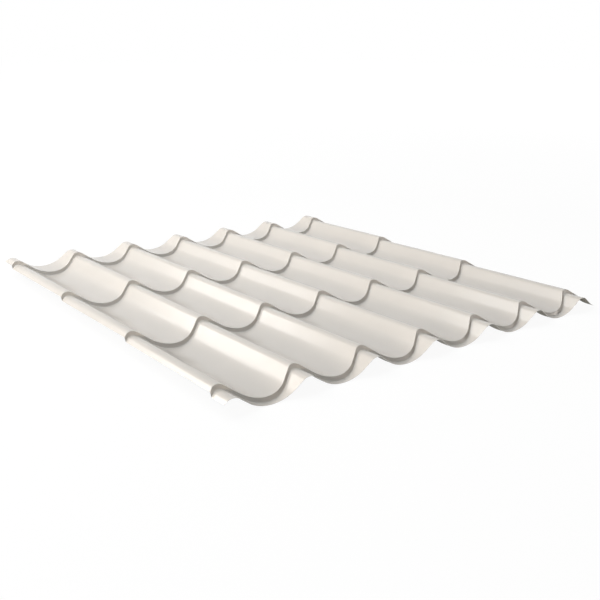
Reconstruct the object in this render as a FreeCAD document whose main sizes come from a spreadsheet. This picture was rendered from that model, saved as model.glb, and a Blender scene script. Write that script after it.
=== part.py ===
import FreeCAD, Part
import math
import os
import Sketcher

# Tile effect roofing sheet: one thin steel sheet, rolled into waves that run down the
# slope and pressed into steps that run across it, so that it looks like rows of tiles.
#
# X runs across the slope, +Y points up the slope, Z is up. Each course rises a little
# towards its lower end, the nose, and then drops down a steep riser to the foot, where
# the next course starts. The nose line is scalloped: it lies in a plane that leans up
# the slope, so the noses of the troughs reach further down the slope than those of the
# crests. The sheet is a wave drawn in that leaning plane, carried along the line of
# steps without turning. The same is done for its underside, one thickness below.

SIZES = [
    ("cover_width", 1100, "width that one sheet covers when laid"),
    ("wave_count", 6, "waves in the cover width"),
    ("wave_depth", 35.4, "crest to trough at a nose, on one face of the sheet"),
    ("crest_radius", 30, "radius over a crest"),
    ("flank_slope", 35, "slope of the flanks between crest and trough, in degrees"),
    ("left_lap", 20, "sheet outside the first crest"),
    ("right_lap", 58, "sheet outside the last crest, under the next sheet"),
    ("course_length", 350, "one step to the next"),
    ("step_count", 4, "pressed steps"),
    ("step_height", 9.7, "nose to foot"),
    ("step_run", 5, "nose to foot, measured along the slope"),
    ("nose_lean", 46.5, "lean of the plane of a nose line, degrees from upright"),
    ("tail_length", 56, "lowest crest nose to the lower end"),
    ("head_length", 45, "highest crest nose to the upper end"),
    ("sheet_thickness", 0.6, "coated steel"),
    ("trim_margin", 12, "how far the untrimmed forms run past the sheet"),
]

# Where the corners of the lower face lie from those of the upper face, so that courses and
# risers alike are one thickness thick.
COURSE_LENGTH_RULE = "sqrt((course_length - step_run) ^ 2 + step_height ^ 2)"
RISER_LENGTH_RULE = "sqrt(step_run ^ 2 + step_height ^ 2)"
SKIN_RULES = [
    ("skin_drop", f"= sheet_thickness * ({COURSE_LENGTH_RULE} + {RISER_LENGTH_RULE}) / course_length",
     "upper corner down to the lower one"),
    ("skin_shift", f"= (sheet_thickness * {RISER_LENGTH_RULE} - step_run * skin_drop) / step_height",
     "upper corner up the slope to the lower one"),
]

NODE = "tile_sheet"
START, END, CENTRE = range(1, 4)
ORIGIN_POINT = -1
SKETCH_NORMAL = FreeCAD.Vector(0, 0, 1)


def fill_sheet(doc):
    """Write the driving dimensions to a spreadsheet, one row each."""
    sheet = doc.addObject("Spreadsheet::Sheet", "sizes")
    for row, (alias, value, meaning) in enumerate(SIZES + SKIN_RULES, start=1):
        sheet.set(f"A{row}", meaning)
        sheet.set(f"B{row}", str(value))
        sheet.setAlias(f"B{row}", alias)
    doc.recompute()
    return sheet


def origin_plane(body, role):
    """The body's own origin plane with that role."""
    return [item for item in body.Origin.OriginFeatures if item.Role == role][0]


def add_sketch(body, name, role):
    """An empty sketch on one of the body's origin planes."""
    sketch = body.newObject("Sketcher::SketchObject", name)
    sketch.AttachmentSupport = [(origin_plane(body, role), "")]
    sketch.MapMode = "FlatFace"
    return sketch


def bind(sketch, name, expression, *constraint):
    """Add a constraint and drive its value from the spreadsheet."""
    index = sketch.addConstraint(Sketcher.Constraint(*constraint))
    sketch.renameConstraint(index, name)
    sketch.setExpression(f"Constraints.{name}", expression)


def arc(x, y, radius, first, last):
    """A circular arc, counter-clockwise from angle first to angle last."""
    circle = Part.Circle(FreeCAD.Vector(x, y, 0), SKETCH_NORMAL, radius)
    return Part.ArcOfCircle(circle, first, last)


def join_tangent(sketch, chain):
    """Join the ends of the chain's edges: each item is (edge, first point, last point)."""
    for (edge, _, leave), (following, enter, _) in zip(chain, chain[1:]):
        sketch.addConstraint(Sketcher.Constraint("Tangent", edge, leave, following, enter))


def draw_wave(body, name, sizes, skin):
    """The wave, trough to trough, in the leaning plane; skin is 0 for the upper face, 1 for the lower.

    The leaning plane stretches heights by 1 / cos(lean), so radii shrink by cos(lean). The
    trough radius is the one that lets a flank of the stated slope touch both arcs.
    """
    sketch = add_sketch(body, name, "XZ_Plane")
    sketch.AttachmentOffset = FreeCAD.Placement(
        FreeCAD.Vector(), FreeCAD.Rotation(FreeCAD.Vector(-1, 0, 0), sizes.nose_lean))
    sketch.setExpression("AttachmentOffset.Rotation.Angle", "sizes.nose_lean")

    shrink = math.cos(math.radians(sizes.nose_lean))
    crest = (sizes.crest_radius - skin * sizes.sheet_thickness) * shrink
    depth = sizes.wave_depth / shrink
    pitch = sizes.cover_width / sizes.wave_count
    slope = math.atan(math.tan(math.radians(sizes.flank_slope)) / shrink)
    trough = (pitch / 2 - depth / math.tan(slope)) / math.tan(slope / 2) - crest
    down, up = -math.pi / 2, math.pi / 2

    crests = int(sizes.wave_count) + 1
    chain, crest_arcs, trough_arcs, flanks = [], [], [], []

    def add(geometry, enter, leave):
        edge = sketch.addGeometry(geometry, False)
        chain.append((edge, enter, leave))
        return edge

    def trough_end(x, side):
        return FreeCAD.Vector(x + side * trough * math.sin(slope), trough * (1 - math.cos(slope)), 0)

    def crest_end(x, side):
        return FreeCAD.Vector(x + side * crest * math.sin(slope), depth - crest * (1 - math.cos(slope)), 0)

    for number in range(crests):
        left = number * pitch
        middle, right = left + pitch / 2, left + pitch
        first = down if number == 0 else down - slope
        trough_arcs.append(add(arc(left, trough, trough, first, down + slope), START, END))
        flanks.append(add(Part.LineSegment(trough_end(left, 1), crest_end(middle, -1)), START, END))
        crest_arcs.append(add(arc(middle, depth - crest, crest, up - slope, up + slope), END, START))
        add(Part.LineSegment(crest_end(middle, 1), trough_end(right, -1)), START, END)
    trough_arcs.append(add(arc(crests * pitch, trough, trough, down - slope, down), START, END))

    join_tangent(sketch, chain)
    radius_rule = f"(sizes.crest_radius - {skin} * sizes.sheet_thickness) * cos(sizes.nose_lean)"
    bind(sketch, "crest_radius", radius_rule, "Radius", crest_arcs[0], crest)
    bind(sketch, "crest_level", f"sizes.wave_depth / cos(sizes.nose_lean) - {radius_rule}",
         "DistanceY", ORIGIN_POINT, START, crest_arcs[0], CENTRE, depth - crest)
    bind(sketch, "flank_angle", "atan(tan(sizes.flank_slope) / cos(sizes.nose_lean))",
         "Angle", flanks[0], slope)
    for kind, arcs, shift in (("crest", crest_arcs, 0.5), ("trough", trough_arcs, 0)):
        for number, edge in enumerate(arcs):
            if number:
                sketch.addConstraint(Sketcher.Constraint("Equal", arcs[0], edge))
                sketch.addConstraint(Sketcher.Constraint("Horizontal", arcs[0], CENTRE, edge, CENTRE))
            place = number + shift
            if place:
                bind(sketch, f"{kind}_place_{number}", f"{place} * sizes.cover_width / sizes.wave_count",
                     "DistanceX", ORIGIN_POINT, START, edge, CENTRE, place * pitch)
    sketch.addConstraint(Sketcher.Constraint("Coincident", trough_arcs[0], START, ORIGIN_POINT, START))
    sketch.addConstraint(Sketcher.Constraint("PointOnObject", trough_arcs[0], CENTRE, -2))
    sketch.addConstraint(Sketcher.Constraint("Vertical", trough_arcs[-1], END, trough_arcs[-1], CENTRE))
    return sketch


def draw_steps(body, name, sizes, skin):
    """The line of courses and steps along a trough, closed below to make a block.

    Its origin is the lowest nose of the upper face. skin is 0 for the upper face and 1 for
    the lower, which has the same line, moved.
    """
    sketch = add_sketch(body, name, "YZ_Plane")
    course, run, height = sizes.course_length, sizes.step_run, sizes.step_height
    steps = int(sizes.step_count)
    shift, drop = skin * sizes.skin_shift, skin * sizes.skin_drop
    reach = sizes.trim_margin * (1 + skin)
    lean_rise = sizes.wave_depth * math.tan(math.radians(sizes.nose_lean))
    low_end = -sizes.tail_length - reach
    high_end = (steps - 1) * course + sizes.head_length + lean_rise + reach
    base = -height - reach
    fall = height / (course - run)

    noses = [FreeCAD.Vector(number * course + shift, -drop, 0) for number in range(steps)]
    feet = [nose - FreeCAD.Vector(run, height, 0) for nose in noses]
    first_point = FreeCAD.Vector(low_end, feet[0].y + (feet[0].x - low_end) * fall, 0)
    last_point = FreeCAD.Vector(high_end, noses[-1].y - (high_end - noses[-1].x) * fall, 0)
    corners = [first_point]
    for foot, nose in zip(feet, noses):
        corners += [foot, nose]
    corners += [last_point, FreeCAD.Vector(high_end, base, 0), FreeCAD.Vector(low_end, base, 0), first_point]
    edges = [sketch.addGeometry(Part.LineSegment(*pair), False) for pair in zip(corners, corners[1:])]
    for edge, following in zip(edges, edges[1:] + edges[:1]):
        sketch.addConstraint(Sketcher.Constraint("Coincident", edge, END, following, START))
    courses, risers = edges[0:2 * steps + 1:2], edges[1:2 * steps:2]
    high_side, floor_line, low_side = edges[2 * steps + 1:]
    sketch.addConstraint(Sketcher.Constraint("Vertical", high_side))
    sketch.addConstraint(Sketcher.Constraint("Horizontal", floor_line))
    sketch.addConstraint(Sketcher.Constraint("Vertical", low_side))

    if skin:
        bind(sketch, "skin_shift", "sizes.skin_shift",
             "DistanceX", ORIGIN_POINT, START, risers[0], END, shift)
        bind(sketch, "skin_drop", "sizes.skin_drop",
             "DistanceY", risers[0], END, ORIGIN_POINT, START, drop)
    else:
        sketch.addConstraint(Sketcher.Constraint("Coincident", risers[0], END, ORIGIN_POINT, START))
    for number, riser in enumerate(risers):
        bind(sketch, f"run_{number}", "sizes.step_run", "DistanceX", riser, START, riser, END, run)
        bind(sketch, f"height_{number}", "sizes.step_height", "DistanceY", riser, START, riser, END, height)
    for number, (riser, following) in enumerate(zip(risers, risers[1:]), start=1):
        bind(sketch, f"course_{number}", "sizes.course_length",
             "DistanceX", riser, END, following, END, course)
        sketch.addConstraint(Sketcher.Constraint("Horizontal", riser, END, following, END))
    sketch.addConstraint(Sketcher.Constraint("Parallel", courses[0], courses[1]))
    sketch.addConstraint(Sketcher.Constraint("Parallel", courses[-1], courses[-2]))

    reach_rule = f"{1 + skin} * sizes.trim_margin"
    bind(sketch, "low_end", f"sizes.tail_length + {reach_rule}",
         "DistanceX", low_side, START, ORIGIN_POINT, START, -low_end)
    bind(sketch, "base", f"sizes.step_height + {reach_rule}",
         "DistanceY", low_side, START, ORIGIN_POINT, START, -base)
    bind(sketch, "high_end", f"{steps - 1} * sizes.course_length + sizes.head_length + {reach_rule}"
         " + sizes.wave_depth * tan(sizes.nose_lean)",
         "DistanceX", ORIGIN_POINT, START, high_side, END, high_end)
    return sketch


def draw_trim(body, sizes):
    """Two rectangles: the sheet's outline, and one outside it that holds the waste."""
    sketch = add_sketch(body, "trim_outline", "XY_Plane")
    pitch = sizes.cover_width / sizes.wave_count
    lean_rise = sizes.wave_depth * math.tan(math.radians(sizes.nose_lean))
    length = (sizes.step_count - 1) * sizes.course_length
    pitch_rule = "sizes.cover_width / sizes.wave_count"
    rise_rule = "sizes.wave_depth * tan(sizes.nose_lean)"
    run_rule = "(sizes.step_count - 1) * sizes.course_length"
    left = (pitch / 2 - sizes.left_lap, f"{pitch_rule} / 2 - sizes.left_lap")
    right = (pitch / 2 + sizes.cover_width + sizes.right_lap,
             f"{pitch_rule} / 2 + sizes.cover_width + sizes.right_lap")
    low = (lean_rise - sizes.tail_length, f"{rise_rule} - sizes.tail_length")
    high = (lean_rise + length + sizes.head_length, f"{rise_rule} + {run_rule} + sizes.head_length")

    for kind, outset, rule in (("sheet", 0, ""), ("waste", 2 * pitch, f" 2 * {pitch_rule}")):
        x0, x1, y0, y1 = left[0] - outset, right[0] + outset, low[0] - outset, high[0] + outset
        corners = [FreeCAD.Vector(x, y, 0) for x, y in ((x0, y0), (x1, y0), (x1, y1), (x0, y1), (x0, y0))]
        edges = [sketch.addGeometry(Part.LineSegment(*pair), False) for pair in zip(corners, corners[1:])]
        for edge, following in zip(edges, edges[1:] + edges[:1]):
            sketch.addConstraint(Sketcher.Constraint("Coincident", edge, END, following, START))
        for edge, direction in zip(edges, ("Horizontal", "Vertical", "Horizontal", "Vertical")):
            sketch.addConstraint(Sketcher.Constraint(direction, edge))
        minus, plus = (f" -{rule}", f" +{rule}") if rule else ("", "")
        bind(sketch, f"{kind}_left", left[1] + minus, "DistanceX", ORIGIN_POINT, START, edges[0], START, x0)
        bind(sketch, f"{kind}_right", right[1] + plus, "DistanceX", ORIGIN_POINT, START, edges[0], END, x1)
        bind(sketch, f"{kind}_low", low[1] + minus, "DistanceY", ORIGIN_POINT, START, edges[0], START, y0)
        bind(sketch, f"{kind}_high", high[1] + plus, "DistanceY", ORIGIN_POINT, START, edges[1], END, y1)
    return sketch


def add_pipe(body, kind, name, section, path):
    """Carry a section along a path without turning it."""
    pipe = body.newObject(f"PartDesign::{kind}", name)
    pipe.Profile = (section, [""])
    pipe.Spine = (path, [""])
    pipe.Mode = "Fixed"
    return pipe


def make_tile_sheet(doc, sizes):
    """The sheet: a block under its upper face, trimmed, then hollowed up to its lower face."""
    body = doc.addObject("PartDesign::Body", NODE)
    body.Label = NODE
    add_pipe(body, "AdditivePipe", "block", draw_steps(body, "steps_over", sizes, 0),
             draw_wave(body, "wave_over", sizes, 0))

    trim = body.newObject("PartDesign::Pocket", "trim")
    trim.Profile = draw_trim(body, sizes)
    trim.Type = "ThroughAll"
    trim.Midplane = True

    add_pipe(body, "SubtractivePipe", "hollow", draw_steps(body, "steps_under", sizes, 1),
             draw_wave(body, "wave_under", sizes, 1))

    # The origin goes to the middle of the outline, at the level of the lowest feet.
    body.setExpression("Placement.Base.x", "-(sizes.cover_width / sizes.wave_count + sizes.cover_width"
                       " + sizes.right_lap - sizes.left_lap) / 2")
    body.setExpression("Placement.Base.y", "-sizes.wave_depth * tan(sizes.nose_lean)"
                       " - ((sizes.step_count - 1) * sizes.course_length"
                       " + sizes.head_length - sizes.tail_length) / 2")
    body.setExpression("Placement.Base.z", "sizes.step_height + sizes.skin_drop")
    return body


def check_and_write(doc, part):
    """Stop unless every object is sound, then write the sheet."""
    doc.recompute()
    for item in doc.Objects:
        if "Invalid" in item.State or "Error" in item.State:
            raise RuntimeError(f"{item.Name} failed: {item.State}")
    shape = part.Shape
    if shape.isNull() or not shape.isValid() or len(shape.Solids) != 1:
        raise RuntimeError(f"{part.Label} is not one valid solid")
    os.makedirs("parts", exist_ok=True)
    shape.exportStep(f"parts/{part.Label}.step")
    box = shape.optimalBoundingBox()
    print(f"{part.Label}: {box.XLength:.2f} x {box.YLength:.2f} x {box.ZLength:.2f} mm,"
          f" lowest {box.ZMin:.4f}, volume {shape.Volume:.0f} mm3")


document = FreeCAD.newDocument("tile_effect_sheet")
check_and_write(document, make_tile_sheet(document, fill_sheet(document)))
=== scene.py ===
import math

import bpy
import numpy as np
from mathutils import Matrix, Vector


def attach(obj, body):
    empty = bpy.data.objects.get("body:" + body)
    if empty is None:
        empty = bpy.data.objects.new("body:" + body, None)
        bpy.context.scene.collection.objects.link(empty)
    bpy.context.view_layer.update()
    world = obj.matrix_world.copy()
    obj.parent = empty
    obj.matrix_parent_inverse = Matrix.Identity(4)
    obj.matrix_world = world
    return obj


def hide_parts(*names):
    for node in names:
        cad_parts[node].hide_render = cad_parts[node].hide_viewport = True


# Tile effect roofing sheet, painted on both faces. It is shown as one fine mesh with round
# bends, made by the same rule as the solid: a wave that lies in a leaning plane, carried
# along the line of courses and steps. All lengths are in metres. +Y is the head end, which
# lies higher on a roof, and +X is to the right, seen from the tail.

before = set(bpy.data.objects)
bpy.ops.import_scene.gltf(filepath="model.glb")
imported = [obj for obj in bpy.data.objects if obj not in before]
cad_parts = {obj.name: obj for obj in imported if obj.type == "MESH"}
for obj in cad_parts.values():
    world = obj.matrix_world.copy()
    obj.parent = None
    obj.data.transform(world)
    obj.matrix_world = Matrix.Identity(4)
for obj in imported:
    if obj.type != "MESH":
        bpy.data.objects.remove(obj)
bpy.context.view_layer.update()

# Driving sizes of the sheet.
MM = 0.001
COVER_WIDTH = 1100 * MM
WAVES = 6
DEPTH = 35.4 * MM
CREST_RADIUS = 30 * MM
FLANK_SLOPE = math.radians(35)
NOSE_LEAN = math.radians(46.5)
COURSE = 350 * MM
STEPS = 4
STEP_HEIGHT = 9.7 * MM
STEP_RUN = 5 * MM
NOSE_RADIUS = 1.5 * MM
FOOT_RADIUS = 4.5 * MM
TAIL = 56 * MM
HEAD = 45 * MM
THICKNESS = 0.6 * MM
LEFT_LAP = 20 * MM
RIGHT_LAP = 58 * MM

# Sizes and places that follow from them.
PITCH = COVER_WIDTH / WAVES
WIDTH = COVER_WIDTH + LEFT_LAP + RIGHT_LAP
LENGTH = (STEPS - 1) * COURSE + TAIL + HEAD
FIRST_CREST = -WIDTH / 2 + LEFT_LAP
FIRST_NOSE = -LENGTH / 2 + TAIL

# Fineness of the mesh: the distance between points on the wave's arcs, the points on each
# bend of a step, and how near to a side edge no other point is kept.
POINT_SPACING = 2.5 * MM
BEND_POINTS = 9
EDGE_MARGIN = 0.1 * MM
FACE_CORNERS = 4


def wave_line():
    """Points of the wave across the sheet: x, height above the troughs, and slope dz/dx.
    Half a wave is an arc over the crest, a straight flank and an arc through the trough. It
    is drawn in the leaning plane, and the lean then shrinks its heights."""
    shrink = math.cos(NOSE_LEAN)
    angle = math.atan(math.tan(FLANK_SLOPE) / shrink)
    crest = CREST_RADIUS * shrink
    depth = DEPTH / shrink
    both_radii = (PITCH / 2 - depth / math.tan(angle)) / math.tan(angle / 2)
    trough = both_radii - crest
    crest_points = math.ceil(crest * angle / POINT_SPACING) + 1
    trough_points = math.ceil(trough * angle / POINT_SPACING) + 1
    half = []
    for turn in np.linspace(0, angle, crest_points):
        half.append((crest * math.sin(turn), depth - crest * (1 - math.cos(turn)), turn))
    for turn in np.linspace(angle, 0, trough_points):
        half.append((PITCH / 2 - trough * math.sin(turn), trough * (1 - math.cos(turn)), turn))
    half = np.array(half)
    run = half[:, 0]
    rise = half[:, 1] * shrink
    slope = -np.tan(half[:, 2]) * shrink
    wave_run = np.concatenate([run, PITCH - run[-2:0:-1]])
    wave_rise = np.concatenate([rise, rise[-2:0:-1]])
    wave_slope = np.concatenate([slope, -slope[-2:0:-1]])
    # One wave more on each side reaches past both laps.
    waves = range(-1, WAVES + 1)
    x = np.concatenate([FIRST_CREST + number * PITCH + wave_run for number in waves])
    z = np.tile(wave_rise, len(waves))
    dz = np.tile(wave_slope, len(waves))
    edge = WIDTH / 2
    inside = (x > -edge + EDGE_MARGIN) & (x < edge - EDGE_MARGIN)
    xs = np.concatenate([[-edge], x[inside], [edge]])
    return xs, np.interp(xs, x, z), np.interp(xs, x, dz)


def step_line():
    """Points of the courses and steps up the slope: y from the lowest trough nose, height,
    and direction of the tangent. Also the direction of the courses. Each step has two bends,
    its foot and its nose, which are arcs with straight runs between them."""
    fall = -math.atan2(STEP_HEIGHT, COURSE - STEP_RUN)
    climb = math.atan2(STEP_HEIGHT, STEP_RUN)
    foot = (-STEP_RUN, -STEP_HEIGHT, FOOT_RADIUS, fall, climb)
    nose = (0, 0, NOSE_RADIUS, climb, fall)
    points = []
    for number in range(STEPS):
        for y, z, radius, enter, leave in (foot, nose):
            side = 1 if leave > enter else -1
            back = radius * math.tan((climb - fall) / 2)
            middle_y = y - back * math.cos(enter) - side * radius * math.sin(enter)
            middle_z = z - back * math.sin(enter) + side * radius * math.cos(enter)
            for angle in np.linspace(enter, leave, BEND_POINTS):
                points.append((number * COURSE + middle_y + side * radius * math.sin(angle),
                               middle_z - side * radius * math.cos(angle), angle))
    return np.array(points), fall


def sheet_surfaces():
    """The points of the upper face and of the underside, and the upper face's normals, each
    as a grid of columns across the sheet and rows up the slope."""
    xs, rise, slope = wave_line()
    line, fall = step_line()
    lean = math.tan(NOSE_LEAN)
    columns = len(xs)
    y = FIRST_NOSE - lean * DEPTH + lean * rise[:, None] + line[None, :, 0]
    z = STEP_HEIGHT + rise[:, None] + line[None, :, 1]
    # Both ends are cut straight across, on the lines of the first and the last course.
    tail_y = np.full((columns, 1), -LENGTH / 2)
    head_y = np.full((columns, 1), LENGTH / 2)
    tail_z = z[:, :1] + (tail_y - y[:, :1]) * math.tan(fall)
    head_z = z[:, -1:] + (head_y - y[:, -1:]) * math.tan(fall)
    y = np.hstack([tail_y, y, head_y])
    z = np.hstack([tail_z, z, head_z]) + THICKNESS
    x = np.repeat(xs[:, None], y.shape[1], axis=1)
    # The normal is square to the tangents across the sheet and up the slope.
    turn = np.concatenate([[fall], line[:, 2], [fall]])
    across = np.stack([np.ones(columns), lean * slope, slope], axis=1)[:, None, :]
    along = np.stack([np.zeros(len(turn)), np.cos(turn), np.sin(turn)], axis=1)[None, :, :]
    normal = np.cross(across, along)
    normal /= np.linalg.norm(normal, axis=2, keepdims=True)
    upper = np.stack([x, y, z], axis=2)
    lower = upper - THICKNESS * normal
    lower[:, :, 0] = lower[:, :, 0].clip(-WIDTH / 2, WIDTH / 2)
    lower[:, :, 1] = lower[:, :, 1].clip(-LENGTH / 2, LENGTH / 2)
    lower[:, :, 2] = lower[:, :, 2].clip(0, None)
    return upper, lower, normal


def sheet_faces(columns, rows):
    """Four-cornered faces of the upper grid, of the underside and of the cut edge between."""
    below = columns * rows
    number = np.arange(below).reshape(columns, rows)
    corners = (number[:-1, :-1], number[1:, :-1], number[1:, 1:], number[:-1, 1:])
    upper = np.stack(corners, axis=2).reshape(-1, FACE_CORNERS)
    lower = upper[:, ::-1] + below
    rim = np.concatenate([number[:, 0], number[-1, 1:], number[-2::-1, -1], number[0, -2:0:-1]])
    after = np.roll(rim, -1)
    edge = np.stack([after, rim, rim + below, after + below], axis=1)
    return upper, lower, edge


def build_sheet():
    """One closed mesh: the faces are shaded round by the surface's own normals, and the cut
    edge is flat. Material 0 is the upper face, 1 the underside and 2 the cut edge."""
    upper_points, lower_points, normal = sheet_surfaces()
    upper, lower, edge = sheet_faces(*normal.shape[:2])
    painted = len(upper) + len(lower)
    points = np.concatenate([upper_points.reshape(-1, 3), lower_points.reshape(-1, 3)])
    faces = np.concatenate([upper, lower, edge])
    mesh = bpy.data.meshes.new("roof_sheet")
    mesh.from_pydata(points.tolist(), [], faces.tolist())
    material_numbers = [0] * len(upper) + [1] * len(lower) + [2] * len(edge)
    mesh.polygons.foreach_set("material_index", material_numbers)
    mesh.polygons.foreach_set("use_smooth", [True] * painted + [False] * len(edge))
    mesh.update()
    mesh.validate()
    corner_points = np.empty(len(mesh.loops), dtype=np.int32)
    mesh.loops.foreach_get("vertex_index", corner_points)
    point_normals = np.concatenate([normal.reshape(-1, 3), -normal.reshape(-1, 3)])
    corner_normals = point_normals[corner_points]
    edge_normals = np.array([tuple(face.normal) for face in mesh.polygons[painted:]])
    corner_normals[FACE_CORNERS * painted:] = np.repeat(edge_normals, FACE_CORNERS, axis=0)
    mesh.normals_split_custom_set(corner_normals.tolist())
    sheet = bpy.data.objects.new("roof_sheet", mesh)
    bpy.context.scene.collection.objects.link(sheet)
    return sheet


# Finishes. A noise pattern mostly stays between NOISE_LOW and NOISE_HIGH. The sheet is never
# quite flat, so that every finish has the same faint waviness.
NOISE_LOW = 0.3
NOISE_HIGH = 0.7
COLOUR_DETAIL = 4
GLOSS_DETAIL = 3
RELIEF_DETAIL = 2
GLOSS_SHARE = 1 / 5
WAVINESS_SIZE = 70 * MM
WAVINESS_HEIGHT = 0.1 * MM


def own_place(nodes):
    """Places on the object itself, in metres."""
    return nodes.new("ShaderNodeTexCoord").outputs["Object"]


def spots(nodes, links, place, size, detail):
    """A cloudy pattern whose spots are about as wide as size."""
    texture = nodes.new("ShaderNodeTexNoise")
    texture.inputs["Scale"].default_value = 1 / size
    texture.inputs["Detail"].default_value = detail
    links.new(place, texture.inputs["Vector"])
    return texture.outputs["Fac"]


def spread(nodes, links, pattern, low, high):
    """The pattern as values from low to high."""
    ranged = nodes.new("ShaderNodeMapRange")
    ranged.inputs["From Min"].default_value = NOISE_LOW
    ranged.inputs["From Max"].default_value = NOISE_HIGH
    ranged.inputs["To Min"].default_value = low
    ranged.inputs["To Max"].default_value = high
    links.new(pattern, ranged.inputs["Value"])
    return ranged.outputs["Result"]


def finish(name, dark, light, roughness, cloud, grain, grain_height, metallic=0.0):
    """Paint or metal: a clouded colour between dark and light, roughness that changes from
    place to place between two values, a fine grain and a faint waviness of the sheet."""
    material = bpy.data.materials.new(name)
    material.use_nodes = True
    nodes, links = material.node_tree.nodes, material.node_tree.links
    shader = nodes["Principled BSDF"]
    shader.inputs["Metallic"].default_value = metallic
    place = own_place(nodes)
    tone = nodes.new("ShaderNodeMix")
    tone.data_type = "RGBA"
    tone.inputs["A"].default_value = (*dark, 1)
    tone.inputs["B"].default_value = (*light, 1)
    clouds = spots(nodes, links, place, cloud, COLOUR_DETAIL)
    links.new(spread(nodes, links, clouds, 0, 1), tone.inputs["Factor"])
    links.new(tone.outputs["Result"], shader.inputs["Base Color"])
    gloss = spots(nodes, links, place, cloud * GLOSS_SHARE, GLOSS_DETAIL)
    links.new(spread(nodes, links, gloss, *roughness), shader.inputs["Roughness"])
    normal = None
    for size, height in ((WAVINESS_SIZE, WAVINESS_HEIGHT), (grain, grain_height)):
        bump = nodes.new("ShaderNodeBump")
        bump.inputs["Strength"].default_value = 1
        bump.inputs["Distance"].default_value = height
        links.new(spots(nodes, links, place, size, RELIEF_DETAIL), bump.inputs["Height"])
        if normal:
            links.new(normal, bump.inputs["Normal"])
        normal = bump.outputs["Normal"]
    links.new(normal, shader.inputs["Normal"])
    return material


def paint_over():
    """Glossy pale cream top coat."""
    return finish("paint_over", dark=(0.775, 0.731, 0.676), light=(0.80, 0.753, 0.697),
                  roughness=(0.17, 0.23), cloud=150 * MM, grain=1.5 * MM, grain_height=0.008 * MM)


def paint_under():
    """Thin dull olive backing coat, in a darker colour than the real coat: painted shade for the dim
    underside.
    """
    # The dark and light colours below are darkened past the real coat's colour, as painted shade.
    return finish("paint_under", dark=(0.30, 0.28, 0.22), light=(0.36, 0.335, 0.27),
                  roughness=(0.45, 0.6), cloud=60 * MM, grain=1.0 * MM, grain_height=0.012 * MM)


def cut_edge():
    """Bare steel where the sheet was cut."""
    return finish("cut_edge", dark=(0.50, 0.49, 0.47), light=(0.62, 0.61, 0.59),
                  roughness=(0.35, 0.5), cloud=8 * MM, grain=0.3 * MM, grain_height=0.01 * MM,
                  metallic=0.9)


sheet = build_sheet()
for material in (paint_over(), paint_under(), cut_edge()):
    sheet.data.materials.append(material)
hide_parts("tile_sheet")
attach(sheet, "root")

# Floor and background. Where the floor is seen, or mirrored, it glows nearly white by itself
# and grows to full white between two distances from the sheet's middle, so that no horizon
# shows. Its weak grey keeps the soft shadow of the sheet. For other light it is a plain pale
# floor.
FLOOR_SIZE = 30
FLOOR_GLOW = 0.94
GLOW_FROM = 1.5
GLOW_FULL = 6
FLOOR_SEEN = 0.08
FLOOR_BOUNCE = 0.8
AROUND = 0.03


def background_ray(nodes, links):
    """1 for camera, glossy and transmission rays, which see the white background."""
    path = nodes.new("ShaderNodeLightPath")
    seen = path.outputs["Is Camera Ray"]
    for name in ("Is Glossy Ray", "Is Transmission Ray"):
        either = nodes.new("ShaderNodeMath")
        either.operation = "MAXIMUM"
        links.new(seen, either.inputs[0])
        links.new(path.outputs[name], either.inputs[1])
        seen = either.outputs[0]
    return seen


def diffuse(nodes, grey):
    """A matt surface of one grey."""
    shader = nodes.new("ShaderNodeBsdfDiffuse")
    shader.inputs["Color"].default_value = (grey, grey, grey, 1)
    return shader.outputs[0]


def ground():
    """The floor's material."""
    material = bpy.data.materials.new("ground")
    material.use_nodes = True
    nodes, links = material.node_tree.nodes, material.node_tree.links
    nodes.remove(nodes["Principled BSDF"])
    away = nodes.new("ShaderNodeVectorMath")
    away.operation = "LENGTH"
    links.new(own_place(nodes), away.inputs[0])
    brighten = nodes.new("ShaderNodeMapRange")
    brighten.inputs["From Min"].default_value = GLOW_FROM
    brighten.inputs["From Max"].default_value = GLOW_FULL
    brighten.inputs["To Min"].default_value = FLOOR_GLOW
    brighten.inputs["To Max"].default_value = 1
    links.new(away.outputs["Value"], brighten.inputs["Value"])
    glow = nodes.new("ShaderNodeEmission")
    links.new(brighten.outputs["Result"], glow.inputs["Strength"])
    shown = nodes.new("ShaderNodeAddShader")
    links.new(glow.outputs[0], shown.inputs[0])
    links.new(diffuse(nodes, FLOOR_SEEN), shown.inputs[1])
    chosen = nodes.new("ShaderNodeMixShader")
    links.new(background_ray(nodes, links), chosen.inputs[0])
    links.new(diffuse(nodes, FLOOR_BOUNCE), chosen.inputs[1])
    links.new(shown.outputs[0], chosen.inputs[2])
    links.new(chosen.outputs[0], nodes["Material Output"].inputs["Surface"])
    return material


def studio():
    """White background, and a weaker even light from all around."""
    world = bpy.data.worlds.new("studio")
    world.use_nodes = True
    nodes, links = world.node_tree.nodes, world.node_tree.links
    strength = nodes.new("ShaderNodeMapRange")
    strength.inputs["To Min"].default_value = AROUND
    strength.inputs["To Max"].default_value = 1
    links.new(background_ray(nodes, links), strength.inputs["Value"])
    nodes["Background"].inputs["Color"].default_value = (1, 1, 1, 1)
    links.new(strength.outputs["Result"], nodes["Background"].inputs["Strength"])
    return world


bpy.ops.mesh.primitive_plane_add(size=FLOOR_SIZE)
floor = bpy.context.object
floor.name = "floor"
floor.data.materials.append(ground())
bpy.context.scene.world = studio()


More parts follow.
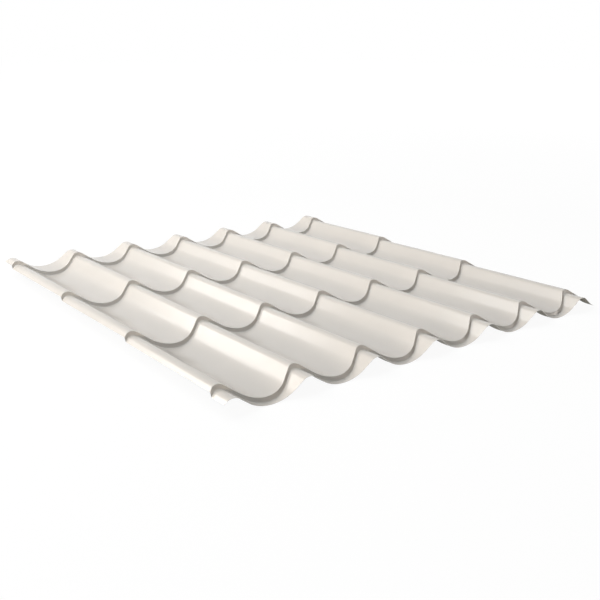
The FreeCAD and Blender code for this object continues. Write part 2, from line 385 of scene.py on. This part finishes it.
def softbox(name, azimuth, elevation, distance, width, height, brightness, colour=(1, 1, 1)):
    """A lit panel that faces the sheet. Azimuth in degrees from the head end (+Y) towards +X;
    brightness 1 is as bright as white."""
    turn, rise = math.radians(azimuth), math.radians(elevation)
    place = Vector((math.sin(turn) * math.cos(rise), math.cos(turn) * math.cos(rise), math.sin(rise)))
    data = bpy.data.lights.new(name, "AREA")
    data.shape = "RECTANGLE"
    data.size, data.size_y = width, height
    data.energy = brightness * math.pi * width * height
    data.color = colour
    light = bpy.data.objects.new(name, data)
    light.location = place * distance
    light.rotation_euler = (-place).to_track_quat("-Z", "Y").to_euler()
    bpy.context.scene.collection.objects.link(light)


# Each lamp's azimuth, elevation, distance, width, height, brightness and tint. The window is
# what the crests mirror as a bright streak, and the low lamps reach the faces of the steps.
softbox("left", -75, 35, 4.5, 2.4, 4.6, 1.8, (0.82, 0.93, 1))
softbox("back_left", -40, 35, 4.5, 1.6, 2.4, 5.0, (1, 0.87, 0.76))
softbox("low_left", -110, 8, 5, 2.0, 1.2, 10.3, (1, 0.87, 0.73))
softbox("low_right", 130, 6, 5, 2.0, 1.2, 4.0, (1, 0.94, 0.86))
softbox("window", -18.5, 37, 9, 3.45, 1.9, 4.3)
softbox("overhead", -20, 72, 4.5, 2.4, 2.4, 4.2, (0.93, 0.97, 1))

# Camera, from a fit to the photograph. Its own axes point right, down and forward, and
# VIEW_TURN is the rotation vector that takes a direction from the sheet's axes into them.
# CREST_NOSE_SEEN is where the lowest nose of the first crest lies in them. The focal length
# and the middle of the lens are in pixels, and the sensor's width is in millimetres.
VIEW_TURN = Vector((1.88547723, -0.6065249, 0.43083026))
CREST_NOSE = Vector((FIRST_CREST, FIRST_NOSE, STEP_HEIGHT + DEPTH + THICKNESS))
CREST_NOSE_SEEN = Vector((-96.2114, 50.9809, 1522.4845)) * MM
PICTURE_SIDE = 600
FOCAL_PIXELS = 801.87
LENS_MIDDLE_X = 267.21
LENS_MIDDLE_Y = 357.18
SENSOR_WIDTH = 36
VIEW_LIMIT = 100


def place_camera():
    """The scene's camera, at the photograph's place, direction and lens."""
    data = bpy.data.cameras.new("camera")
    camera = bpy.data.objects.new("camera", data)
    bpy.context.scene.collection.objects.link(camera)
    bpy.context.scene.camera = camera
    view_to_world = Matrix.Rotation(VIEW_TURN.length, 3, VIEW_TURN).transposed()
    right, down, forward = view_to_world.col
    axes = Matrix((right, -down, -forward)).transposed()
    place = CREST_NOSE - view_to_world @ CREST_NOSE_SEEN
    camera.matrix_world = Matrix.Translation(place) @ axes.to_4x4()
    data.sensor_width = SENSOR_WIDTH
    data.lens = FOCAL_PIXELS / PICTURE_SIDE * SENSOR_WIDTH
    data.shift_x = (PICTURE_SIDE / 2 - LENS_MIDDLE_X) / PICTURE_SIDE
    data.shift_y = (LENS_MIDDLE_Y - PICTURE_SIDE / 2) / PICTURE_SIDE
    data.clip_end = VIEW_LIMIT


place_camera()

bpy.context.scene.view_settings.view_transform = "Standard"
